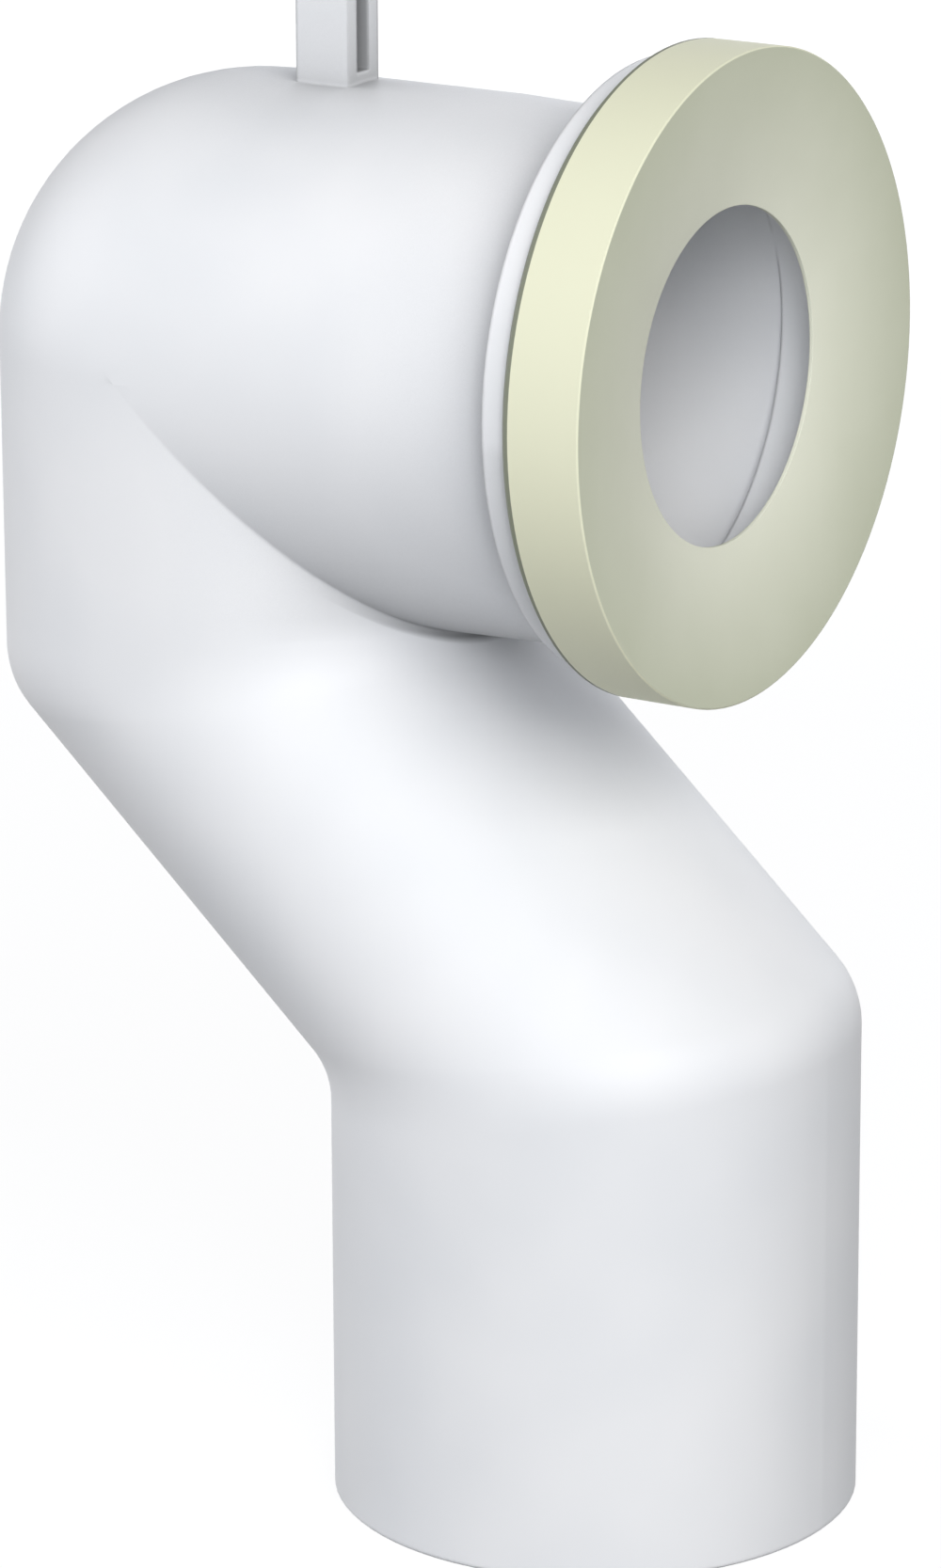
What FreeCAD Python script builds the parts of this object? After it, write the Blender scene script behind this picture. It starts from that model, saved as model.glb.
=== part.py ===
import FreeCAD, Part
import math
import os

import Sketcher
from FreeCAD import Placement, Rotation, Vector

# A 90 degree toilet pan connector with a swan-neck offset, made of two pieces: a hollow polypropylene moulding and
# the rubber seal pushed over its nose. Millimetres, +Z up. The origin is the centre of the outlet spigot's end face.
# Every pipe axis lies in the plane Y = 0, and the mouth that takes the pan's outlet faces +X.

SIZES = {
    # outlet spigot and offset run
    "spigot_radius": 55.0,
    "pipe_wall": 3.2,
    "lower_knee_height": 100.6,
    "upper_knee_height": 173.6,
    "sideways_offset": 80.4,
    "knee_plane_tilt": 9.95,
    "knee_turn_radius": 16.0,
    "crease_clearance": 1.87,
    "spigot_edge": 0.4,
    # heel and branch
    "branch_axis_height": 238.3,
    "branch_straight": 56.0,
    "branch_mouth_radius": 53.8,
    # flange and nose, both round the mouth's own axis
    "mouth_axis_height": 242.3,
    "flange_rear": 11.8,
    "flange_radius": 62.6,
    "flange_width": 6.4,
    "flange_web": 3.0,
    "nose_length": 11.55,
    "nose_bore_radius": 49.0,
    # rubber seal
    "seal_radius": 66.3,
    "seal_web": 5.9,
    "seal_bore_radius": 34.3,
    "dish_depth": 5.1,
    "dish_curve_radius": 200.0,
    "seal_front_edge": 0.3,
    "seal_rear_edge": 1.0,
    # channelled stem on top of the branch
    "stem_front_from_riser": 24.9,
    "stem_length": 12.6,
    "stem_breadth": 11.2,
    "stem_rise": 34.0,
    "channel_width": 4.4,
    "channel_depth": 8.6,
    "channel_floor_rise": 2.2,
    # how far a cut runs past the face that it leaves through
    "run_past": 20.0,
}


class Size:
    """A length or angle together with the sheet expression that gives it."""

    def __init__(self, text, value):
        self.text = text
        self.value = value

    def __add__(self, other):
        return Size(f"({self.text} + {other.text})", self.value + other.value)

    def __sub__(self, other):
        return Size(f"({self.text} - {other.text})", self.value - other.value)

    def __neg__(self):
        return Size(f"(0 - {self.text})", -self.value)

    def times(self, factor):
        return Size(f"({self.text} * {factor})", self.value * factor)

    def times_tangent_of(self, angle):
        return Size(f"({self.text} * tan({angle.text} * 1deg))", self.value * math.tan(math.radians(angle.value)))

    def over_cosine_of(self, angle):
        return Size(f"({self.text} / cos({angle.text} * 1deg))", self.value / math.cos(math.radians(angle.value)))


ZERO = Size("0", 0.0)


def size(alias):
    """The named size from the sheet."""
    return Size(f"sizes.{alias}", SIZES[alias])


def make_sheet(doc):
    """Writes every driving size into the sheet, one row each."""
    sheet = doc.addObject("Spreadsheet::Sheet", "sizes")
    for row, (alias, value) in enumerate(SIZES.items(), start=1):
        sheet.set(f"A{row}", alias.replace("_", " "))
        sheet.set(f"B{row}", str(value))
        sheet.setAlias(f"B{row}", alias)
    doc.recompute()
    return sheet


# Places that several features share

def riser_axis():
    """Where the riser's axis stands along X."""
    return -size("sideways_offset")


def knee_reach():
    """How far from each knee's corner its arc starts and ends."""
    shift = size("sideways_offset")
    rise = size("upper_knee_height") - size("lower_knee_height")
    radius = size("knee_turn_radius")
    text = f"({radius.text} * tan(atan({shift.text} / {rise.text}) / 2))"
    return Size(text, radius.value * math.tan(math.atan2(shift.value, rise.value) / 2))


def spigot_top():
    """The height at which the straight spigot ends, clear of the lowest point of the lower knee's crease."""
    dip = size("spigot_radius").times_tangent_of(size("knee_plane_tilt"))
    return size("lower_knee_height") - knee_reach() - dip - size("crease_clearance")


def branch_crown():
    """The height of the branch's top line where it leaves the heel."""
    return size("branch_axis_height") + size("spigot_radius")


def seal_seat():
    """Where the flange's front face lies along X, which the seal is pushed up to."""
    return size("flange_rear") + size("flange_width")


def nose_tip():
    """Where the nose ends along X."""
    return seal_seat() + size("nose_length")


def nose_radius():
    """The outside of the nose, which is the inside of the seal's collar."""
    return size("nose_bore_radius") + size("pipe_wall")


# Sketches

def new_body(doc, name):
    body = doc.addObject("PartDesign::Body", name)
    body.Label = name
    body.Placement = Placement()
    return body


def origin_plane(body, role):
    return [plane for plane in body.Origin.OriginFeatures if plane.Role == role][0]


def new_sketch(body, name, role, height=None):
    """A sketch on one of the body's origin planes, lifted along its normal."""
    sketch = body.newObject("Sketcher::SketchObject", name)
    sketch.AttachmentSupport = [(origin_plane(body, role), "")]
    sketch.MapMode = "FlatFace"
    if height:
        sketch.AttachmentOffset = Placement(Vector(0, 0, height.value), Rotation())
        sketch.setExpression(".AttachmentOffset.Base.z", height.text)
    return sketch


def constrain(sketch, name, constraint, wanted):
    """Adds one dimension to the sketch and binds it to the sheet."""
    index = sketch.addConstraint(constraint)
    sketch.renameConstraint(index, name)
    sketch.setExpression(f"Constraints.{name}", wanted.text)


def pin(sketch, name, geometry, end, across, up):
    """Fixes one point of a line or an arc at a dimensioned place."""
    for axis, wanted in (("X", across), ("Y", up)):
        if wanted.text == "0":
            other_axis = -2 if axis == "X" else -1
            sketch.addConstraint(Sketcher.Constraint("PointOnObject", geometry, end, other_axis))
        else:
            distance = Sketcher.Constraint("Distance" + axis, -1, 1, geometry, end, wanted.value)
            constrain(sketch, f"{name}_{axis.lower()}", distance, wanted)


def outline(sketch, corners, closed=True):
    """Straight lines from corner to corner, closed into a ring or left open between the last and the first."""
    count = len(corners)
    points = [Vector(across.value, up.value, 0) for across, up in corners]
    lines = []
    for i in range(count if closed else count - 1):
        lines.append(sketch.addGeometry(Part.LineSegment(points[i], points[(i + 1) % count]), False))
        pin(sketch, f"corner_{i}", lines[i], 1, *corners[i])
        if i > 0:
            sketch.addConstraint(Sketcher.Constraint("Coincident", lines[i - 1], 2, lines[i], 1))
    if closed:
        sketch.addConstraint(Sketcher.Constraint("Coincident", lines[-1], 2, lines[0], 1))
    else:
        pin(sketch, f"corner_{count - 1}", lines[-1], 2, *corners[-1])
    return lines


def axis_line(sketch, start, end):
    """A construction line to turn the outline about."""
    line = Part.LineSegment(Vector(start[0].value, start[1].value, 0), Vector(end[0].value, end[1].value, 0))
    index = sketch.addGeometry(line, True)
    pin(sketch, "axis_start", index, 1, *start)
    pin(sketch, "axis_end", index, 2, *end)


def mouth_sketch(body, name):
    """A sketch in the plane Y = 0 with the mouth's axis in it."""
    sketch = new_sketch(body, name, "XZ_Plane")
    axis_height = size("mouth_axis_height")
    axis_line(sketch, (ZERO, axis_height), (size("flange_rear"), axis_height))
    return sketch


def from_mouth_axis(corners):
    """Corners given as distance along X and radius, as points of the plane Y = 0."""
    return [(across, size("mouth_axis_height") + radius) for across, radius in corners]


def turn_profile(body, name, sketch, angle=360.0, cut=False):
    """Turns the sketch about its construction line."""
    feature = body.newObject("PartDesign::Groove" if cut else "PartDesign::Revolution", name)
    feature.Profile = sketch
    feature.ReferenceAxis = (sketch, ["Axis0"])
    feature.Angle = angle
    sketch.Visibility = False
    return feature


# Spigot, offset run and riser

def knee_plane(body, name, across, height):
    """A plane across the drop where a knee's arc meets the upright pipe. Its tilt gives the knee its crease and the
    offset run its breadth."""
    plane = body.newObject("PartDesign::Plane", name)
    tilt = -size("knee_plane_tilt")
    plane.AttachmentSupport = [(origin_plane(body, "XY_Plane"), "")]
    plane.MapMode = "FlatFace"
    plane.AttachmentOffset = Placement(Vector(across.value, 0, height.value), Rotation(Vector(0, 1, 0), tilt.value))
    plane.setExpression(".AttachmentOffset.Base.x", across.text)
    plane.setExpression(".AttachmentOffset.Base.z", height.text)
    plane.setExpression(".AttachmentOffset.Rotation.Angle", tilt.text)
    plane.Visibility = False
    return plane


def knee_bend(first, corner, last, radius):
    """Where a rounded corner of the route starts, its middle and where it ends."""
    back = (first - corner).normalize()
    onward = (last - corner).normalize()
    half = back.getAngle(onward) / 2
    reach = radius / math.tan(half)
    depth = radius / math.sin(half) - radius
    return corner + back * reach, corner + (back + onward).normalize() * depth, corner + onward * reach


def route_sketch(body, name, rounded):
    """The route of the offset: out of the spigot, along the slanted run and into the riser. Each knee follows an arc,
    or the arc's chord where it isn't rounded."""
    sketch = new_sketch(body, name, "XZ_Plane")
    left = riser_axis()
    low = size("lower_knee_height")
    high = size("upper_knee_height")
    top = size("branch_axis_height")
    radius = size("knee_turn_radius")
    start = Vector(0, 0, 0)
    lower = Vector(0, low.value, 0)
    upper = Vector(left.value, high.value, 0)
    end = Vector(left.value, top.value, 0)
    low_bend = knee_bend(start, lower, upper, radius.value)
    high_bend = knee_bend(lower, upper, end, radius.value)
    sketch.addGeometry(Part.LineSegment(start, low_bend[0]), True)
    sketch.addGeometry(Part.Arc(*low_bend), not rounded)
    sketch.addGeometry(Part.LineSegment(low_bend[2], high_bend[0]), False)
    sketch.addGeometry(Part.Arc(*high_bend), not rounded)
    sketch.addGeometry(Part.LineSegment(high_bend[2], end), True)
    low_point = sketch.addGeometry(Part.Point(lower), True)
    high_point = sketch.addGeometry(Part.Point(upper), True)
    pin(sketch, "start", 0, 1, ZERO, ZERO)
    pin(sketch, "end", 4, 2, left, top)
    pin(sketch, "lower_knee", low_point, 1, ZERO, low)
    pin(sketch, "upper_knee", high_point, 1, left, high)
    for line in (0, 4):
        sketch.addConstraint(Sketcher.Constraint("Vertical", line))
    for point in (low_point, high_point):
        sketch.addConstraint(Sketcher.Constraint("PointOnObject", point, 1, 2))
    for line, arc in ((0, 1), (2, 1), (2, 3), (4, 3)):
        sketch.addConstraint(touching_tangent(sketch, line, arc))
    constrain(sketch, "low_turn", Sketcher.Constraint("Radius", 1, radius.value), radius)
    constrain(sketch, "high_turn", Sketcher.Constraint("Radius", 3, radius.value), radius)
    if not rounded:
        for first, bend, last in ((0, low_bend, 2), (2, high_bend, 4)):
            chord = sketch.addGeometry(Part.LineSegment(bend[0], bend[2]), False)
            sketch.addConstraint(Sketcher.Constraint("Coincident", first, 2, chord, 1))
            sketch.addConstraint(Sketcher.Constraint("Coincident", chord, 2, last, 1))
    return sketch


def touching_tangent(sketch, line, arc):
    """End-to-end tangency between a line and an arc that already meet."""
    for line_end in (1, 2):
        for arc_end in (1, 2):
            gap = sketch.getPoint(line, line_end) - sketch.getPoint(arc, arc_end)
            if gap.Length < 1e-6:
                return Sketcher.Constraint("Tangent", line, line_end, arc, arc_end)
    raise ValueError(f"line {line} and arc {arc} do not meet")


def section_sketch(body, name, plane, radius):
    """The offset's section, an ellipse in the tilted knee plane that is a true circle seen from above."""
    sketch = body.newObject("Sketcher::SketchObject", name)
    sketch.AttachmentSupport = [(plane, "")]
    sketch.MapMode = "FlatFace"
    long_half = radius.over_cosine_of(size("knee_plane_tilt"))
    index = sketch.addGeometry(Part.Ellipse(Vector(0, 0, 0), long_half.value, radius.value), False)
    sketch.exposeInternalGeometry(index)
    sketch.addConstraint(Sketcher.Constraint("Coincident", index, 3, -1, 1))
    sketch.addConstraint(Sketcher.Constraint("Horizontal", index + 1))
    constrain(sketch, "long_axis", Sketcher.Constraint("Distance", index + 1, 2 * long_half.value), long_half.times(2))
    constrain(sketch, "short_axis", Sketcher.Constraint("Distance", index + 2, 2 * radius.value), radius.times(2))
    return sketch


def circle_sketch(body, name, across, height, radius):
    """A level circle round an upright pipe's axis."""
    sketch = new_sketch(body, name, "XY_Plane", height)
    sketch.addGeometry(Part.Circle(Vector(across.value, 0, 0), Vector(0, 0, 1), radius.value), False)
    pin(sketch, "centre", 0, 3, across, ZERO)
    constrain(sketch, "radius", Sketcher.Constraint("Radius", 0, radius.value), radius)
    sketch.Visibility = False
    return sketch


def add_spigot(body, kind, radius, foot, section):
    """The straight spigot, and the wedge of pipe between its level top and the tilted start of the offset."""
    top = spigot_top()
    spigot = body.newObject("PartDesign::Pad", kind + "_spigot")
    spigot.Profile = circle_sketch(body, kind + "_spigot_foot", ZERO, foot, radius)
    spigot.setExpression("Length", (top - foot).text)
    wedge = body.newObject("PartDesign::AdditiveLoft", kind + "_spigot_top")
    wedge.Profile = circle_sketch(body, kind + "_spigot_round", ZERO, top, radius)
    wedge.Sections = [(section, [""])]
    wedge.Ruled = True
    return wedge


def add_riser(body, kind, radius, plane):
    """The riser, from the tilted end of the offset to the height at which the heel starts."""
    riser = body.newObject("PartDesign::Pad", kind + "_riser")
    riser.Profile = circle_sketch(body, kind + "_riser_top", riser_axis(), size("branch_axis_height"), radius)
    riser.Type = "UpToFace"
    riser.UpToFace = (plane, [""])
    riser.Reversed = True
    return riser


def add_drop(body, kind, radius, foot, rounded):
    """Spigot, offset run and riser, up to the height at which the heel starts."""
    low_plane = knee_plane(body, kind + "_low_knee", ZERO, size("lower_knee_height") - knee_reach())
    high_plane = knee_plane(body, kind + "_high_knee", riser_axis(), size("upper_knee_height") + knee_reach())
    body.Document.recompute()
    section = section_sketch(body, kind + "_section", low_plane, radius)
    add_spigot(body, kind, radius, foot, section)
    route = route_sketch(body, kind + "_route", rounded)
    sweep = body.newObject("PartDesign::AdditivePipe", kind + "_offset")
    sweep.Profile = section
    sweep.Spine = (route, [])
    sweep.Mode = "Fixed"
    section.Visibility = False
    route.Visibility = False
    body.Document.recompute()
    add_riser(body, kind, radius, high_plane)


# Heel and branch

def add_heel(body, kind, radius):
    """The heel: a quarter ball that closes the corner between the riser and the branch."""
    sketch = new_sketch(body, kind + "_heel_outline", "XY_Plane", size("branch_axis_height"))
    left = riser_axis()
    above = Vector(left.value, radius.value, 0)
    below = Vector(left.value, -radius.value, 0)
    sketch.addGeometry(Part.Arc(above, Vector(left.value - radius.value, 0, 0), below), False)
    sketch.addGeometry(Part.LineSegment(below, above), False)
    sketch.addConstraint(Sketcher.Constraint("Coincident", 0, 2, 1, 1))
    sketch.addConstraint(Sketcher.Constraint("Coincident", 1, 2, 0, 1))
    sketch.addConstraint(Sketcher.Constraint("Vertical", 1))
    sketch.addConstraint(Sketcher.Constraint("PointOnObject", 0, 3, 1))
    pin(sketch, "centre", 0, 3, left, ZERO)
    constrain(sketch, "heel_radius", Sketcher.Constraint("Radius", 0, radius.value), radius)
    axis_line(sketch, (left, -radius), (left, radius))
    return turn_profile(body, kind + "_heel", sketch, angle=90.0)


def add_branch(body, kind, radius, mouth_radius, end):
    """The branch: straight where it crosses the riser, then tapering to the flange and straight again to its end."""
    axis_height = size("branch_axis_height")
    start = riser_axis()
    corners = [
        (start, axis_height),
        (start, axis_height + radius),
        (start + size("branch_straight"), axis_height + radius),
        (size("flange_rear"), axis_height + mouth_radius),
        (end, axis_height + mouth_radius),
        (end, axis_height),
    ]
    sketch = new_sketch(body, kind + "_branch_outline", "XZ_Plane")
    outline(sketch, corners)
    axis_line(sketch, corners[0], corners[-1])
    return turn_profile(body, kind + "_branch", sketch)


# Flange, nose and stem

def add_flange_and_nose(body):
    """The flange that the seal is pushed up to and the nose that it grips."""
    rear = size("flange_rear")
    corners = [
        (rear, ZERO),
        (rear, size("flange_radius")),
        (seal_seat(), size("flange_radius")),
        (seal_seat(), nose_radius()),
        (nose_tip(), nose_radius()),
        (nose_tip(), ZERO),
    ]
    sketch = mouth_sketch(body, "flange_and_nose_outline")
    outline(sketch, from_mouth_axis(corners))
    return turn_profile(body, "flange_and_nose", sketch)


def add_nose_bore(body):
    """The round way through the nose, open to the front."""
    start = size("flange_rear") + size("flange_web")
    end = nose_tip() + size("run_past")
    radius = size("nose_bore_radius")
    corners = [(start, ZERO), (start, radius), (end, radius), (end, ZERO)]
    sketch = mouth_sketch(body, "nose_bore_outline")
    outline(sketch, from_mouth_axis(corners))
    return turn_profile(body, "nose_bore", sketch)


def add_stem(body):
    """The square stem on top of the branch, with the channel in its front face."""
    front = riser_axis() + size("stem_front_from_riser")
    back = front - size("stem_length")
    half = size("stem_breadth").times(0.5)
    sketch = new_sketch(body, "stem_outline", "XY_Plane", size("branch_axis_height"))
    outline(sketch, [(back, -half), (front, -half), (front, half), (back, half)])
    stem = body.newObject("PartDesign::Pad", "stem")
    stem.Profile = sketch
    stem.setExpression("Length", (size("spigot_radius") + size("stem_rise")).text)
    sketch.Visibility = False

    floor = branch_crown() + size("channel_floor_rise")
    top = branch_crown() + size("stem_rise") + size("run_past")
    half = size("channel_width").times(0.5)
    sketch = new_sketch(body, "channel_outline", "YZ_Plane", front)
    outline(sketch, [(-half, floor), (half, floor), (half, top), (-half, top)])
    channel = body.newObject("PartDesign::Pocket", "channel")
    channel.Profile = sketch
    channel.setExpression("Length", size("channel_depth").text)
    sketch.Visibility = False
    return channel


def ease_spigot_end(body):
    """Takes the sharp edge off the spigot's end."""
    radius = size("spigot_radius")
    edge = size("spigot_edge")
    sketch = new_sketch(body, "spigot_end_outline", "XZ_Plane")
    outside = radius + edge
    outline(sketch, [(radius - edge, ZERO), (outside, ZERO), (outside, edge), (radius, edge)])
    axis_line(sketch, (ZERO, ZERO), (ZERO, size("lower_knee_height")))
    return turn_profile(body, "spigot_end", sketch, cut=True)


# The pieces

def make_waterway(doc):
    """The hollow inside the moulding, as a body of its own that is taken out of it."""
    body = new_body(doc, "waterway")
    wall = size("pipe_wall")
    bore = size("spigot_radius") - wall
    add_drop(body, "bore", bore, -size("run_past"), rounded=False)
    add_heel(body, "bore", bore)
    end = size("flange_rear") + size("flange_web")
    add_branch(body, "bore", bore, size("branch_mouth_radius") - wall, end)
    add_nose_bore(body)
    doc.recompute()
    return body


def make_moulding(doc, waterway):
    """The one-piece polypropylene moulding."""
    body = new_body(doc, "moulding")
    radius = size("spigot_radius")
    add_drop(body, "pipe", radius, ZERO, rounded=True)
    add_heel(body, "pipe", radius)
    end = size("flange_rear") + size("flange_web")
    add_branch(body, "pipe", radius, size("branch_mouth_radius"), end)
    add_flange_and_nose(body)
    add_stem(body)
    ease_spigot_end(body)
    doc.recompute()
    hollow = body.newObject("PartDesign::Boolean", "hollow")
    hollow.setObjects([waterway])
    hollow.Type = "Cut"
    body.Tip = hollow
    doc.recompute()
    return body


def make_seal(doc):
    """The rubber ring: a collar round the nose, a web against its tip, and a dished lip that closes on the pan's
    outlet."""
    body = new_body(doc, "seal")
    front = nose_tip() + size("seal_web")
    outer = size("seal_radius")
    bore = size("seal_bore_radius")
    front_edge = size("seal_front_edge")
    rear_edge = size("seal_rear_edge")
    corners = [
        (front, outer - front_edge),
        (front - front_edge, outer),
        (seal_seat() + rear_edge, outer),
        (seal_seat(), outer - rear_edge),
        (seal_seat(), nose_radius()),
        (nose_tip(), nose_radius()),
        (nose_tip(), bore),
        (front - size("dish_depth"), bore),
    ]
    corners = from_mouth_axis(corners)
    sketch = mouth_sketch(body, "seal_outline")
    lines = outline(sketch, corners, closed=False)
    add_dish(sketch, lines, corners)
    turn_profile(body, "seal_ring", sketch)
    doc.recompute()
    return body


def add_dish(sketch, lines, corners):
    """Closes the seal's outline with the arc of its dished face, from the lip's edge out to the front edge."""
    radius = size("dish_curve_radius")
    start = Vector(corners[-1][0].value, corners[-1][1].value, 0)
    end = Vector(corners[0][0].value, corners[0][1].value, 0)
    chord = end - start
    outward = Vector(chord.y, -chord.x, 0).normalize()
    bulge = radius.value - math.sqrt(radius.value**2 - (chord.Length / 2) ** 2)
    middle = (start + end) * 0.5 + outward * bulge
    arc = sketch.addGeometry(Part.Arc(start, middle, end), False)
    for end_of_arc in (1, 2):
        for line, end_of_line in ((lines[-1], 2), (lines[0], 1)):
            if (sketch.getPoint(arc, end_of_arc) - sketch.getPoint(line, end_of_line)).Length < 1e-6:
                sketch.addConstraint(Sketcher.Constraint("Coincident", arc, end_of_arc, line, end_of_line))
    constrain(sketch, "dish_curve", Sketcher.Constraint("Radius", arc, radius.value), radius)


def check(doc, pieces):
    """Stops if any feature failed or any piece is not a sound solid."""
    for item in doc.Objects:
        if {"Invalid", "Error"} & set(item.State):
            raise RuntimeError(f"{item.Name} failed: {item.State}")
    for piece in pieces:
        if piece.Shape.isNull() or not piece.Shape.isValid():
            raise RuntimeError(f"{piece.Label} has no sound shape")
        if len(piece.Shape.Solids) != 1:
            raise RuntimeError(f"{piece.Label} is not one solid")


def main():
    os.makedirs("parts", exist_ok=True)
    doc = FreeCAD.newDocument("pan_connector")
    make_sheet(doc)
    waterway = make_waterway(doc)
    moulding = make_moulding(doc, waterway)
    seal = make_seal(doc)
    pieces = [moulding, seal]
    check(doc, pieces)
    for piece in pieces:
        piece.Shape.exportStep(f"parts/{piece.Label}.step")
        box = piece.Shape.optimalBoundingBox(False)
        low = [round(v, 2) for v in (box.XMin, box.YMin, box.ZMin)]
        high = [round(v, 2) for v in (box.XMax, box.YMax, box.ZMax)]
        print(piece.Label, round(piece.Shape.Volume), "mm3", low, high)


main()
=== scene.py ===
"""Studio scene of a toilet pan connector.

The part is a white polypropylene swan-neck pipe with a cream rubber seal on its mouth. Both pieces keep the
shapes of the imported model. This file gives them their finishes and adds the floor, the lamps and the camera.
"""

import logging
import math
from collections.abc import Callable
from dataclasses import dataclass
from enum import Enum

import bpy
from mathutils import Matrix, Vector


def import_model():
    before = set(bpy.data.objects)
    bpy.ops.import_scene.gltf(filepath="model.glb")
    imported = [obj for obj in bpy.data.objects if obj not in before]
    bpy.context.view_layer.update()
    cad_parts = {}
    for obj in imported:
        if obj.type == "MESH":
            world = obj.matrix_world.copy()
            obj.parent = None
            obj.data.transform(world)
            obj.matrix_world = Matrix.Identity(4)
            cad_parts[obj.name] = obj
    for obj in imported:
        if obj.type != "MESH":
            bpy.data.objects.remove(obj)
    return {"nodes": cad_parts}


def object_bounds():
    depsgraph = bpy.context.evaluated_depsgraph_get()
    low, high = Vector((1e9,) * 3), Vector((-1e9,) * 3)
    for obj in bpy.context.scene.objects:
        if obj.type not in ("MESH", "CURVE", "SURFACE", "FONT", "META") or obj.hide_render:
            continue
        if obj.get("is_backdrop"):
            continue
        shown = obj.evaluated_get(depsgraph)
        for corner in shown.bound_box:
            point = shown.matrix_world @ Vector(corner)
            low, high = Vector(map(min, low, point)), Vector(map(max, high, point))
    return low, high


log = logging.getLogger("pan_connector")

# The sizes are written in millimetres, and Blender works in metres.
MM = 0.001

Tree = bpy.types.NodeTree
Socket = bpy.types.NodeSocket

# What add_node sets and links, by the name or number of a node's input.
Settings = dict[str | int, object]
Links = dict[str | int, Socket]

# Takes a material's node tree and the point on the surface, and gives a share from 0 to 1.
Mask = Callable[[Tree, Socket], Socket]


def linear(hex_colour: str) -> tuple[float, float, float, float]:
    """Turns an sRGB colour into the linear one that a shader takes.

    Args:
        hex_colour: The colour as #RRGGBB.

    Returns:
        Linear red, green and blue, and an alpha of 1.
    """
    channels = [int(hex_colour[i:i + 2], 16) / 255 for i in (1, 3, 5)]
    red, green, blue = (c / 12.92 if c <= 0.04045 else ((c + 0.055) / 1.055) ** 2.4 for c in channels)
    return red, green, blue, 1.0


def add_node(tree: Tree, kind: str, settings: Settings | None = None,
             links: Links | None = None) -> bpy.types.Node:
    """Adds one node with its settings and links.

    Args:
        tree: The node tree that it goes into.
        kind: The node's type, such as ShaderNodeBump.
        settings: Values by the name or number of an input socket, or by the name of a property.
        links: Output sockets by the name or number of the input that each feeds.

    Returns:
        The new node.
    """
    node = tree.nodes.new(kind)
    for name, value in (settings or {}).items():
        if isinstance(name, int) or name in node.inputs:
            node.inputs[name].default_value = value
        else:
            setattr(node, name, value)
    for name, output in (links or {}).items():
        tree.links.new(output, node.inputs[name])
    return node


def axis_distance(tree: Tree, place: Socket, height_mm: float) -> Socket:
    """Measures how far a point is from an axis that runs level along X.

    Args:
        tree: The material's node tree.
        place: The point on the surface.
        height_mm: The axis's height above the spigot's end.

    Returns:
        The distance in metres.
    """
    across = add_node(tree, "ShaderNodeVectorMath", {"operation": "MULTIPLY", 1: (0.0, 1.0, 1.0)},
                      {0: place})
    axis = (0.0, 0.0, height_mm * MM)
    distance = add_node(tree, "ShaderNodeVectorMath", {"operation": "DISTANCE", 1: axis},
                        {0: across.outputs["Vector"]})
    return distance.outputs["Value"]


def empty_material(name: str) -> bpy.types.Material:
    """Makes a node material with nothing in it yet.

    Args:
        name: Its name.

    Returns:
        The empty material.
    """
    material = bpy.data.materials.new(name)
    material.use_nodes = True
    material.node_tree.nodes.clear()
    return material


def fill_slots(obj: bpy.types.Object, material: bpy.types.Material) -> None:
    """Puts one material in every slot of an object.

    Args:
        obj: The object to dress.
        material: Its material.
    """
    if not obj.material_slots:
        obj.data.materials.append(material)
    for slot in obj.material_slots:
        slot.material = material


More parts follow.
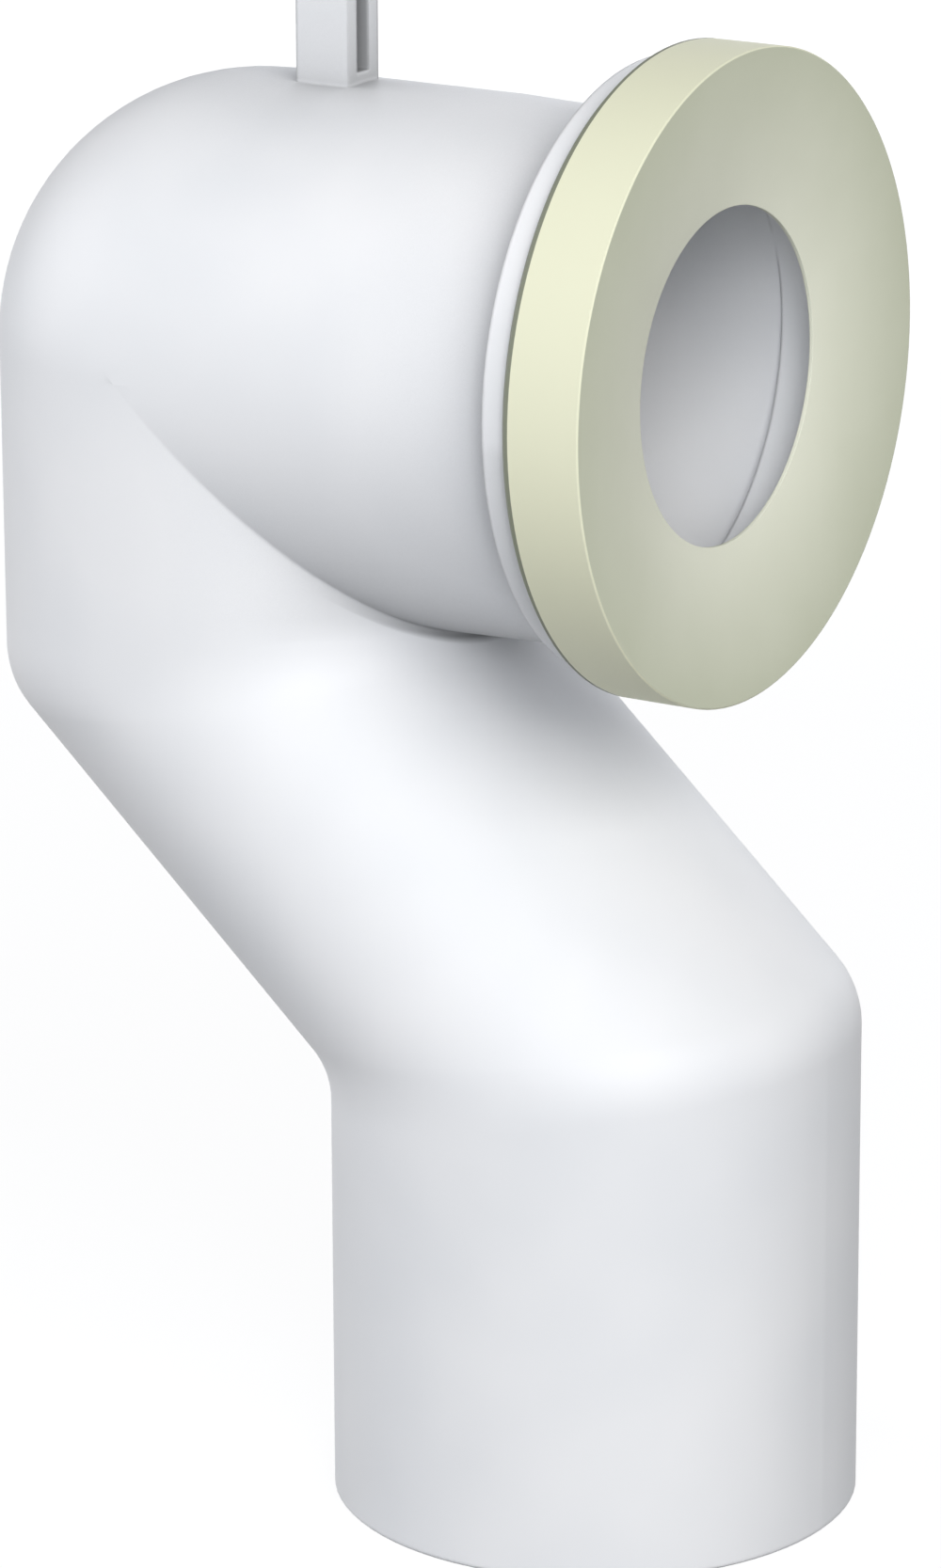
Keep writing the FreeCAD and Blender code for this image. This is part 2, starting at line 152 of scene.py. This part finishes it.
@dataclass(frozen=True)
class MouldedPolypropylene:
    """White polypropylene as it leaves a polished injection mould.

    The eye gets a clean cool white with a soft sheen, a tone that drifts slightly along the flow of the melt,
    a faint orange peel that keeps the highlights from looking like glass, and painted shade that greys tight
    corners.
    """

    name: str = "injection_moulded_polypropylene"
    light_hex: str = "#F1F2F4"
    dark_hex: str = "#E9EBEE"
    ior: float = 1.49
    roughness_low: float = 0.46
    roughness_high: float = 0.56
    # The melt's flow shows as patches of a few centimetres.
    flow_length_mm: float = 55.0
    flow_detail: float = 2.0
    flow_dark: float = 0.35
    flow_light: float = 0.65
    # Real orange peel is finer than 1 mm. It is drawn coarser here, or it would not show.
    peel_width_mm: float = 1.4
    peel_detail: float = 3.0
    peel_depth_mm: float = 0.02
    peel_strength: float = 0.12
    edge_radius_mm: float = 1.2
    edge_samples: int = 6
    # Painted shade darkens the colour where surfaces within reach close the view. It is darkest where
    # corner_open of the view is left.
    corner_reach_mm: float = 40.0
    corner_samples: int = 8
    corner_open: float = 0.35
    corner_tone: float = 0.35

    def tone(self, tree: Tree, flow: Socket) -> Socket:
        """Colours the plastic between its two whites.

        Args:
            tree: The material's node tree.
            flow: The pattern of the melt's flow.

        Returns:
            The plastic's colour before the painted shade.
        """
        ramp = add_node(tree, "ShaderNodeValToRGB", {}, {"Fac": flow})
        dark, light = ramp.color_ramp.elements
        dark.position = self.flow_dark
        dark.color = linear(self.dark_hex)
        light.position = self.flow_light
        light.color = linear(self.light_hex)
        return ramp.outputs["Color"]

    def even_normal(self, tree: Tree, flat: Socket) -> Socket:
        """Rounds the edges a little, and keeps the facets' own direction where they are to stay flat.

        Args:
            tree: The material's node tree.
            flat: 1 where the facets stay flat and 0 elsewhere.

        Returns:
            The surface's direction.
        """
        edge = add_node(tree, "ShaderNodeBevel",
                        {"Radius": self.edge_radius_mm * MM, "samples": self.edge_samples})
        facet = add_node(tree, "ShaderNodeNewGeometry")
        even = add_node(tree, "ShaderNodeMix", {"data_type": "VECTOR"},
                        {0: flat, 4: edge.outputs["Normal"], 5: facet.outputs["True Normal"]})
        return even.outputs[1]

    def painted_shade(self, tree: Tree, normal: Socket, unshaded: Socket) -> Socket:
        """Paints shade into the tight corners.

        Args:
            tree: The material's node tree.
            normal: The surface's direction.
            unshaded: 1 where no shade is painted, 0 where it may be.

        Returns:
            What the colour is multiplied by.
        """
        corner = add_node(tree, "ShaderNodeAmbientOcclusion",
                          {"Distance": self.corner_reach_mm * MM, "samples": self.corner_samples},
                          {"Normal": normal})
        shade = add_node(tree, "ShaderNodeMapRange",
                         {"From Min": self.corner_open, "To Min": self.corner_tone},
                         {"Value": corner.outputs["AO"]})
        painted_shade = add_node(tree, "ShaderNodeMath", {"operation": "MAXIMUM"},
                        {0: shade.outputs["Result"], 1: unshaded})
        return painted_shade.outputs["Value"]

    def build(self, unshaded: Mask, flat: Mask) -> bpy.types.Material:
        """Builds the material.

        Args:
            unshaded: Gives 1 where no shade is painted.
            flat: Gives 1 where the facets keep their own direction.

        Returns:
            The finished material.
        """
        material = empty_material(self.name)
        tree = material.node_tree
        place = add_node(tree, "ShaderNodeTexCoord").outputs["Object"]
        flow = add_node(tree, "ShaderNodeTexNoise",
                        {"Scale": 1 / (self.flow_length_mm * MM), "Detail": self.flow_detail},
                        {"Vector": place})
        peel = add_node(tree, "ShaderNodeTexNoise",
                        {"Scale": 1 / (self.peel_width_mm * MM), "Detail": self.peel_detail},
                        {"Vector": place})
        rough = add_node(tree, "ShaderNodeMapRange",
                         {"To Min": self.roughness_low, "To Max": self.roughness_high},
                         {"Value": flow.outputs["Fac"]})
        normal = self.even_normal(tree, flat(tree, place))
        tone = self.tone(tree, flow.outputs["Fac"])
        # Painted shade: the colour is darkened where nearby surfaces close the view.
        painted_shade = self.painted_shade(tree, normal, unshaded(tree, place))
        colour = add_node(tree, "ShaderNodeMix", {"data_type": "RGBA", "blend_type": "MULTIPLY", 0: 1.0},
                          {6: tone, 7: painted_shade})
        bump = add_node(tree, "ShaderNodeBump",
                        {"Strength": self.peel_strength, "Distance": self.peel_depth_mm * MM},
                        {"Height": peel.outputs["Fac"], "Normal": normal})
        surface = add_node(tree, "ShaderNodeBsdfPrincipled", {"IOR": self.ior},
                           {"Base Color": colour.outputs[2], "Roughness": rough.outputs["Result"],
                            "Normal": bump.outputs["Normal"]})
        add_node(tree, "ShaderNodeOutputMaterial", {}, {"Surface": surface.outputs["BSDF"]})
        return material


@dataclass(frozen=True)
class MouldedRubber:
    """Pale cream-green synthetic rubber, compression moulded and lightly dusted.

    The eye gets a soft, almost matt surface with broad dull highlights and a very fine grain. The face has
    painted
    light: it is paler round the bore and thins out unevenly toward its rim in patches of bloom. The outside is
    painted paler than the face as painted light, and the seam at the flange is painted dark as painted shade.
    """

    name: str = "compression_moulded_rubber"
    body_hex: str = "#CED2BB"
    bloom_and_light_hex: str = "#EAECDA"
    side_light_hex: str = "#E6E7CC"
    seam_shade_hex: str = "#7F8372"
    ior: float = 1.52
    roughness: float = 0.62
    # The bloom comes in patches of a few centimetres, each shifting the paler tone by this much.
    bloom_width_mm: float = 30.0
    bloom_detail: float = 4.0
    bloom_share: float = 0.25
    # The grain of such a mould is about 0.2 mm. It is drawn coarser here, or it would not show.
    grain_width_mm: float = 0.9
    grain_detail: float = 4.0
    grain_depth_mm: float = 0.03
    grain_strength: float = 0.2
    edge_radius_mm: float = 0.25
    edge_samples: int = 6

    def tone(self, tree: Tree, patches: Socket, bore_to_rim: Socket, side: Socket, seam: Socket) -> Socket:
        """Colours the ring.

        Args:
            tree: The material's node tree.
            patches: The uneven bloom, from 0 to 1.
            bore_to_rim: Where on the face, from 0 at the bore to 1 at its rim.
            side: 1 on the outside of the ring.
            seam: 1 in the seam at the flange.

        Returns:
            The colour.
        """
        uneven = add_node(tree, "ShaderNodeMapRange",
                          {"To Min": -self.bloom_share, "To Max": self.bloom_share}, {"Value": patches})
        share = add_node(tree, "ShaderNodeMath", {"operation": "ADD", "use_clamp": True},
                         {0: bore_to_rim, 1: uneven.outputs["Result"]})
        # Painted light: the face is painted paler round the bore, thinning toward its rim in patches of bloom.
        face = add_node(tree, "ShaderNodeMix",
                        {"data_type": "RGBA", 6: linear(self.bloom_and_light_hex), 7: linear(self.body_hex)},
                        {0: share.outputs["Value"]})
        # Painted light: the outside of the ring is painted paler than the face.
        ring = add_node(tree, "ShaderNodeMix", {"data_type": "RGBA", 7: linear(self.side_light_hex)},
                        {0: side, 6: face.outputs[2]})
        # Painted shade: the seam at the flange is painted dark.
        whole = add_node(tree, "ShaderNodeMix", {"data_type": "RGBA", 7: linear(self.seam_shade_hex)},
                         {0: seam, 6: ring.outputs[2]})
        return whole.outputs[2]

    def build(self, bore_to_rim: Mask, side: Mask, seam: Mask) -> bpy.types.Material:
        """Builds the material.

        Args:
            bore_to_rim: Gives 0 at the bore and 1 at the rim of the face.
            side: Gives 1 on the outside of the ring.
            seam: Gives 1 in the seam at the flange.

        Returns:
            The finished material.
        """
        material = empty_material(self.name)
        tree = material.node_tree
        place = add_node(tree, "ShaderNodeTexCoord").outputs["Object"]
        bloom = add_node(tree, "ShaderNodeTexNoise",
                         {"Scale": 1 / (self.bloom_width_mm * MM), "Detail": self.bloom_detail},
                         {"Vector": place})
        tone = self.tone(tree, bloom.outputs["Fac"], bore_to_rim(tree, place), side(tree, place),
                         seam(tree, place))
        grain = add_node(tree, "ShaderNodeTexNoise",
                         {"Scale": 1 / (self.grain_width_mm * MM), "Detail": self.grain_detail},
                         {"Vector": place})
        edge = add_node(tree, "ShaderNodeBevel",
                        {"Radius": self.edge_radius_mm * MM, "samples": self.edge_samples})
        bump = add_node(tree, "ShaderNodeBump",
                        {"Strength": self.grain_strength, "Distance": self.grain_depth_mm * MM},
                        {"Height": grain.outputs["Fac"], "Normal": edge.outputs["Normal"]})
        surface = add_node(tree, "ShaderNodeBsdfPrincipled", {"IOR": self.ior, "Roughness": self.roughness},
                           {"Base Color": tone, "Normal": bump.outputs["Normal"]})
        add_node(tree, "ShaderNodeOutputMaterial", {}, {"Surface": surface.outputs["BSDF"]})
        return material


@dataclass(frozen=True)
class PaintedFloor:
    """Studio floor in matt emulsion paint.

    The camera and reflections see it as white paper, with the object's shadow left on it. It glows a little
    less near the object, where the lamps add their light, and reaches full white before the horizon. The
    fade is in metres from the spigot's axis.
    """

    name: str = "matt_painted_floor"
    paint_hex: str = "#646567"
    near_glow: float = 0.9
    far_glow: float = 1.0
    fade_start: float = 0.6
    fade_end: float = 2.4

    def build(self) -> bpy.types.Material:
        """Builds the material.

        Returns:
            The finished material.
        """
        material = empty_material(self.name)
        tree = material.node_tree
        path = add_node(tree, "ShaderNodeLightPath")
        seen = add_node(tree, "ShaderNodeMath", {"operation": "MAXIMUM"},
                        {0: path.outputs["Is Camera Ray"], 1: path.outputs["Is Glossy Ray"]})
        seen = add_node(tree, "ShaderNodeMath", {"operation": "MAXIMUM"},
                        {0: seen.outputs["Value"], 1: path.outputs["Is Transmission Ray"]})
        place = add_node(tree, "ShaderNodeTexCoord")
        reach = add_node(tree, "ShaderNodeVectorMath", {"operation": "LENGTH"}, {0: place.outputs["Object"]})
        fade = add_node(tree, "ShaderNodeMapRange",
                        {"From Min": self.fade_start, "From Max": self.fade_end,
                         "To Min": self.near_glow, "To Max": self.far_glow},
                        {"Value": reach.outputs["Value"]})
        glow = add_node(tree, "ShaderNodeMath", {"operation": "MULTIPLY"},
                        {0: seen.outputs["Value"], 1: fade.outputs["Result"]})
        lift = add_node(tree, "ShaderNodeEmission", {}, {"Strength": glow.outputs["Value"]})
        paint = add_node(tree, "ShaderNodeBsdfDiffuse", {"Color": linear(self.paint_hex)})
        both = add_node(tree, "ShaderNodeAddShader", {},
                        {0: paint.outputs["BSDF"], 1: lift.outputs["Emission"]})
        add_node(tree, "ShaderNodeOutputMaterial", {}, {"Surface": both.outputs["Shader"]})
        return material


class Node(Enum):
    """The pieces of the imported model."""

    MOULDING = "moulding"
    SEAL = "seal"


@dataclass(frozen=True)
class Moulding:
    """The one-piece moulding: spigot, offset, riser, heel, branch, flange, nose and stem.

    Heights are counted from the spigot's end, and places along X from the spigot's axis.
    """

    finish: MouldedPolypropylene
    riser_place_mm: float = -80.4
    branch_axis_height_mm: float = 238.3
    branch_radius_mm: float = 55.0
    # Lies in the wall of the riser, the heel, the branch and the nose, between their inside and outside.
    wall_middle_mm: float = 53.4
    # The spigot and the offset get no painted shade, up to a short blend at the top of the offset.
    offset_unshaded_mm: float = 172.0
    offset_blend_end_mm: float = 178.0
    # The riser gets no painted shade beside the branch: how far off it that starts, and over which heights it
    # ends.
    crease_edge_mm: float = 0.3
    crease_blend_mm: float = 2.5
    crease_low_mm: float = 186.0
    crease_high_mm: float = 228.0
    # A place just behind the flange, and the flange's rim, which gets no painted shade in its upper half.
    flange_start_mm: float = 10.0
    flange_axis_height_mm: float = 242.3
    rim_start_mm: float = 58.0
    rim_full_mm: float = 62.4
    unshaded_rim_from_mm: float = 215.0
    unshaded_rim_above_mm: float = 240.0
    # The radius of the spot at each side pole of the heel where the facets keep their own direction.
    pole_spot_mm: float = 4.2

    def waterway(self, tree: Tree, place: Socket) -> Socket:
        """Tells the inside of the branch, the heel and the riser from the outside.

        Args:
            tree: The material's node tree.
            place: The point on the surface.

        Returns:
            1 inside the pipe and 0 outside.
        """
        heel = (self.riser_place_mm * MM, 0.0, self.branch_axis_height_mm * MM)
        from_heel = add_node(tree, "ShaderNodeVectorMath", {"operation": "SUBTRACT", 1: heel}, {0: place})
        # Nothing here reaches a metre, so 1 leaves a direction as it is, and 0 cuts it at the heel's middle.
        behind = add_node(tree, "ShaderNodeVectorMath", {"operation": "MINIMUM", 1: (0.0, 1.0, 1.0)},
                          {0: from_heel.outputs["Vector"]})
        above = add_node(tree, "ShaderNodeVectorMath", {"operation": "MAXIMUM", 1: (-1.0, -1.0, 0.0)},
                         {0: from_heel.outputs["Vector"]})
        off_branch = add_node(tree, "ShaderNodeVectorMath", {"operation": "LENGTH"},
                              {0: behind.outputs["Vector"]})
        off_riser = add_node(tree, "ShaderNodeVectorMath", {"operation": "LENGTH"},
                             {0: above.outputs["Vector"]})
        nearest = add_node(tree, "ShaderNodeMath", {"operation": "MINIMUM"},
                           {0: off_branch.outputs["Value"], 1: off_riser.outputs["Value"]})
        inside = add_node(tree, "ShaderNodeMath", {"operation": "LESS_THAN", 1: self.wall_middle_mm * MM},
                          {0: nearest.outputs["Value"]})
        return inside.outputs["Value"]

    def below_branch(self, tree: Tree, place: Socket) -> Socket:
        """Tells the spigot, the offset and the riser under the branch from the rest.

        Args:
            tree: The material's node tree.
            place: The point on the surface.

        Returns:
            1 on them and 0 elsewhere, with a blend up the riser.
        """
        along = add_node(tree, "ShaderNodeSeparateXYZ", {}, {"Vector": place})
        low = add_node(tree, "ShaderNodeMapRange",
                       {"From Min": self.offset_unshaded_mm * MM, "From Max": self.offset_blend_end_mm * MM,
                        "To Min": 1.0, "To Max": 0.0},
                       {"Value": along.outputs["Z"]})
        off_branch = add_node(tree, "ShaderNodeMapRange",
                              {"From Min": (self.branch_radius_mm + self.crease_edge_mm) * MM,
                               "From Max": (self.branch_radius_mm + self.crease_blend_mm) * MM},
                              {"Value": axis_distance(tree, place, self.branch_axis_height_mm)})
        under = add_node(tree, "ShaderNodeMapRange",
                         {"From Min": self.crease_low_mm * MM, "From Max": self.crease_high_mm * MM,
                          "To Min": 1.0, "To Max": 0.0},
                         {"Value": along.outputs["Z"]})
        behind = add_node(tree, "ShaderNodeMath", {"operation": "LESS_THAN", 1: self.flange_start_mm * MM},
                          {0: along.outputs["X"]})
        riser = add_node(tree, "ShaderNodeMath", {"operation": "MULTIPLY"},
                         {0: off_branch.outputs["Result"], 1: under.outputs["Result"]})
        riser = add_node(tree, "ShaderNodeMath", {"operation": "MULTIPLY"},
                         {0: riser.outputs["Value"], 1: behind.outputs["Value"]})
        below = add_node(tree, "ShaderNodeMath", {"operation": "MAXIMUM"},
                         {0: low.outputs["Result"], 1: riser.outputs["Value"]})
        return below.outputs["Value"]

    def upper_rim(self, tree: Tree, place: Socket) -> Socket:
        """Tells the upper half of the flange's rim from the rest.

        Args:
            tree: The material's node tree.
            place: The point on the surface.

        Returns:
            1 on it and 0 elsewhere, with a blend just below the height of the axis.
        """
        along = add_node(tree, "ShaderNodeSeparateXYZ", {}, {"Vector": place})
        rim = add_node(tree, "ShaderNodeMapRange",
                       {"From Min": self.rim_start_mm * MM, "From Max": self.rim_full_mm * MM},
                       {"Value": axis_distance(tree, place, self.flange_axis_height_mm)})
        upper = add_node(tree, "ShaderNodeMapRange",
                         {"From Min": self.unshaded_rim_from_mm * MM, "From Max": self.unshaded_rim_above_mm * MM},
                         {"Value": along.outputs["Z"]})
        ahead = add_node(tree, "ShaderNodeMath", {"operation": "GREATER_THAN", 1: self.flange_start_mm * MM},
                         {0: along.outputs["X"]})
        unshaded_rim = add_node(tree, "ShaderNodeMath", {"operation": "MULTIPLY"},
                         {0: rim.outputs["Result"], 1: upper.outputs["Result"]})
        unshaded_rim = add_node(tree, "ShaderNodeMath", {"operation": "MULTIPLY"},
                         {0: unshaded_rim.outputs["Value"], 1: ahead.outputs["Value"]})
        return unshaded_rim.outputs["Value"]

    def unshaded(self, tree: Tree, place: Socket) -> Socket:
        """Tells where no shade is painted: inside the pipe, below the branch and on the flange's upper rim.

        Args:
            tree: The material's node tree.
            place: The point on the surface.

        Returns:
            1 where no shade is painted, 0 where it may be.
        """
        # Painted shade is left off these places, so they keep the plastic's own colour.
        outside = add_node(tree, "ShaderNodeMath", {"operation": "MAXIMUM"},
                           {0: self.below_branch(tree, place), 1: self.upper_rim(tree, place)})
        unshaded = add_node(tree, "ShaderNodeMath", {"operation": "MAXIMUM"},
                         {0: outside.outputs["Value"], 1: self.waterway(tree, place)})
        return unshaded.outputs["Value"]

    def poles(self, tree: Tree, place: Socket) -> Socket:
        """Finds the two side poles of the heel, where smooth shading would show a fan of facets as a spot.

        Args:
            tree: The material's node tree.
            place: The point on the surface.

        Returns:
            1 at the poles and 0 elsewhere.
        """
        # Folding the space onto its positive side lets one point stand for both poles.
        folded = add_node(tree, "ShaderNodeVectorMath", {"operation": "ABSOLUTE"}, {0: place})
        pole = (-self.riser_place_mm * MM, self.branch_radius_mm * MM, self.branch_axis_height_mm * MM)
        distance = add_node(tree, "ShaderNodeVectorMath", {"operation": "DISTANCE", 1: pole},
                            {0: folded.outputs["Vector"]})
        spot = add_node(tree, "ShaderNodeMath", {"operation": "LESS_THAN", 1: self.pole_spot_mm * MM},
                        {0: distance.outputs["Value"]})
        return spot.outputs["Value"]

    def dress(self, obj: bpy.types.Object) -> None:
        """Gives the moulding its finish."""
        fill_slots(obj, self.finish.build(self.unshaded, self.poles))


@dataclass(frozen=True)
class Seal:
    """The rubber ring on the nose, with its dished face.

    Its axis's height is counted from the spigot's end, and the seam's place along X from the spigot's axis.
    """

    finish: MouldedRubber
    axis_height_mm: float = 242.3
    bore_radius_mm: float = 34.3
    side_radius_mm: float = 66.3
    # How far the painted paler colour of the outside reaches over the edge of the face.
    side_edge_mm: float = 0.3
    seam_end_mm: float = 19.9

    def bore_to_rim(self, tree: Tree, place: Socket) -> Socket:
        """Counts from the bore to the rim of the face.

        Args:
            tree: The material's node tree.
            place: The point on the surface.

        Returns:
            0 at the bore and 1 at the rim.
        """
        share = add_node(tree, "ShaderNodeMapRange",
                         {"From Min": self.bore_radius_mm * MM, "From Max": self.side_radius_mm * MM},
                         {"Value": axis_distance(tree, place, self.axis_height_mm)})
        return share.outputs["Result"]

    def side(self, tree: Tree, place: Socket) -> Socket:
        """Tells the outside of the ring from its face.

        Args:
            tree: The material's node tree.
            place: The point on the surface.

        Returns:
            1 on the outside and 0 on the face.
        """
        outside = add_node(tree, "ShaderNodeMath",
                           {"operation": "GREATER_THAN", 1: (self.side_radius_mm - self.side_edge_mm) * MM},
                           {0: axis_distance(tree, place, self.axis_height_mm)})
        return outside.outputs["Value"]

    def seam(self, tree: Tree, place: Socket) -> Socket:
        """Finds the seam between the ring and the flange.

        Args:
            tree: The material's node tree.
            place: The point on the surface.

        Returns:
            1 in the seam and 0 elsewhere.
        """
        along = add_node(tree, "ShaderNodeSeparateXYZ", {}, {"Vector": place})
        seam = add_node(tree, "ShaderNodeMath", {"operation": "LESS_THAN", 1: self.seam_end_mm * MM},
                        {0: along.outputs["X"]})
        return seam.outputs["Value"]

    def dress(self, obj: bpy.types.Object) -> None:
        """Gives the seal its finish."""
        fill_slots(obj, self.finish.build(self.bore_to_rim, self.side, self.seam))


@dataclass(frozen=True)
class SoftBox:
    """A square studio lamp with a diffuser.

    Azimuth is counted in degrees from -Y towards +X, and elevation from the floor. Sizes are in metres.
    """

    name: str
    azimuth: float
    elevation: float
    distance: float
    breadth: float
    watts: float
    hex_colour: str

    def build(self, target: Vector) -> None:
        """Hangs the lamp round the target and points it there.

        Args:
            target: What the lamp looks at.
        """
        light = bpy.data.lights.new(self.name, "AREA")
        light.size = self.breadth
        light.energy = self.watts
        light.color = linear(self.hex_colour)[:3]
        lamp = bpy.data.objects.new(self.name, light)
        turn = math.radians(self.azimuth)
        rise = math.radians(self.elevation)
        away = Vector((math.sin(turn) * math.cos(rise), -math.cos(turn) * math.cos(rise), math.sin(rise)))
        lamp.location = target + away * self.distance
        lamp.rotation_euler = away.to_track_quat("Z", "Y").to_euler()
        bpy.context.scene.collection.objects.link(lamp)


@dataclass(frozen=True)
class Studio:
    """Floor, sky and lamps. Two lamps stand on the camera's side, one fills the left and one the back."""

    floor_size: float = 12.0
    sky_hex: str = "#F8FAFF"
    sky_strength: float = 0.16
    backdrop_hex: str = "#FFFFFF"
    backdrop_strength: float = 1.0
    lamps: tuple[SoftBox, ...] = (
        SoftBox("front_lamp", azimuth=30.0, elevation=18.0, distance=1.9, breadth=1.0, watts=17.0,
                hex_colour="#F9FBFF"),
        SoftBox("key_lamp", azimuth=54.0, elevation=33.0, distance=1.9, breadth=1.2, watts=21.0,
                hex_colour="#FFFDFA"),
        SoftBox("left_lamp", azimuth=-72.0, elevation=12.0, distance=1.9, breadth=1.5, watts=22.5,
                hex_colour="#FEFEFF"),
        SoftBox("back_lamp", azimuth=190.0, elevation=14.0, distance=1.9, breadth=1.8, watts=20.0,
                hex_colour="#F8FAFF"),
    )

    def build(self, target: Vector) -> None:
        """Builds the studio round the target.

        Args:
            target: The middle of the object.
        """
        self.build_floor()
        self.build_sky()
        for lamp in self.lamps:
            lamp.build(target)

    def build_floor(self) -> None:
        """Lays the floor under the spigot's end."""
        half = self.floor_size / 2
        mesh = bpy.data.meshes.new("floor")
        corners = [(-half, -half, 0), (half, -half, 0), (half, half, 0), (-half, half, 0)]
        mesh.from_pydata(corners, [], [(0, 1, 2, 3)])
        floor = bpy.data.objects.new("floor", mesh)
        bpy.context.scene.collection.objects.link(floor)
        fill_slots(floor, PaintedFloor().build())
        floor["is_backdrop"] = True

    def build_sky(self) -> None:
        """Lights the room softly from all round, and shows white where the camera looks past the floor."""
        world = bpy.data.worlds.new("studio")
        world.use_nodes = True
        bpy.context.scene.world = world
        tree = world.node_tree
        tree.nodes.clear()
        path = add_node(tree, "ShaderNodeLightPath")
        seen = add_node(tree, "ShaderNodeMath", {"operation": "MAXIMUM"},
                        {0: path.outputs["Is Camera Ray"], 1: path.outputs["Is Transmission Ray"]})
        sky = add_node(tree, "ShaderNodeBackground",
                       {"Color": linear(self.sky_hex), "Strength": self.sky_strength})
        backdrop = add_node(tree, "ShaderNodeBackground",
                            {"Color": linear(self.backdrop_hex), "Strength": self.backdrop_strength})
        both = add_node(tree, "ShaderNodeMixShader", {},
                        {0: seen.outputs["Value"], 1: sky.outputs["Background"],
                         2: backdrop.outputs["Background"]})
        add_node(tree, "ShaderNodeOutputWorld", {}, {"Surface": both.outputs["Shader"]})


@dataclass(frozen=True)
class PhotoCamera:
    """The camera of the photograph, fitted to the spigot, the seal's rims and the pipe's outlines.

    Angles are in degrees: yaw turns left from +Y, and a negative roll lowers the camera's right side.
    """

    place_mm: tuple[float, float, float] = (686.342, -1137.998, 550.929)
    yaw: float = 32.206
    pitch_down: float = 16.67
    roll: float = -0.235
    focal_pixels: float = 7190.2
    picture_height: float = 1667.0
    sensor_mm: float = 36.0

    def build(self) -> None:
        """Makes the scene's camera."""
        yaw, pitch, roll = (math.radians(a) for a in (self.yaw, self.pitch_down, self.roll))
        level = math.cos(pitch)
        forward = Vector((-math.sin(yaw) * level, math.cos(yaw) * level, -math.sin(pitch)))
        level_right = Vector((math.cos(yaw), math.sin(yaw), 0))
        level_up = level_right.cross(forward)
        right = math.cos(roll) * level_right + math.sin(roll) * level_up
        up = math.cos(roll) * level_up - math.sin(roll) * level_right
        turned = Matrix((right, up, -forward)).transposed()
        data = bpy.data.cameras.new("camera")
        data.sensor_width = self.sensor_mm
        data.lens = self.focal_pixels * self.sensor_mm / self.picture_height
        camera = bpy.data.objects.new("camera", data)
        camera.matrix_world = Matrix.Translation(Vector(self.place_mm) * MM) @ turned.to_4x4()
        bpy.context.scene.collection.objects.link(camera)
        bpy.context.scene.camera = camera


def main() -> None:
    """Loads the frame, dresses each piece and lights the scene."""
    logging.basicConfig(level=logging.INFO, format="%(message)s")
    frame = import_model()
    cad_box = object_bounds()
    PhotoCamera().build()
    pieces = {Node.MOULDING: Moulding(MouldedPolypropylene()), Node.SEAL: Seal(MouldedRubber())}
    for node, piece in pieces.items():
        piece.dress(frame["nodes"][node.value])
        log.info("dressed %s", node.value)
    low, high = cad_box
    Studio().build((Vector(low) + Vector(high)) / 2)
    log.info("built the studio")
    bpy.context.scene.view_settings.view_transform = "Standard"


if __name__ == "__main__":
    main()
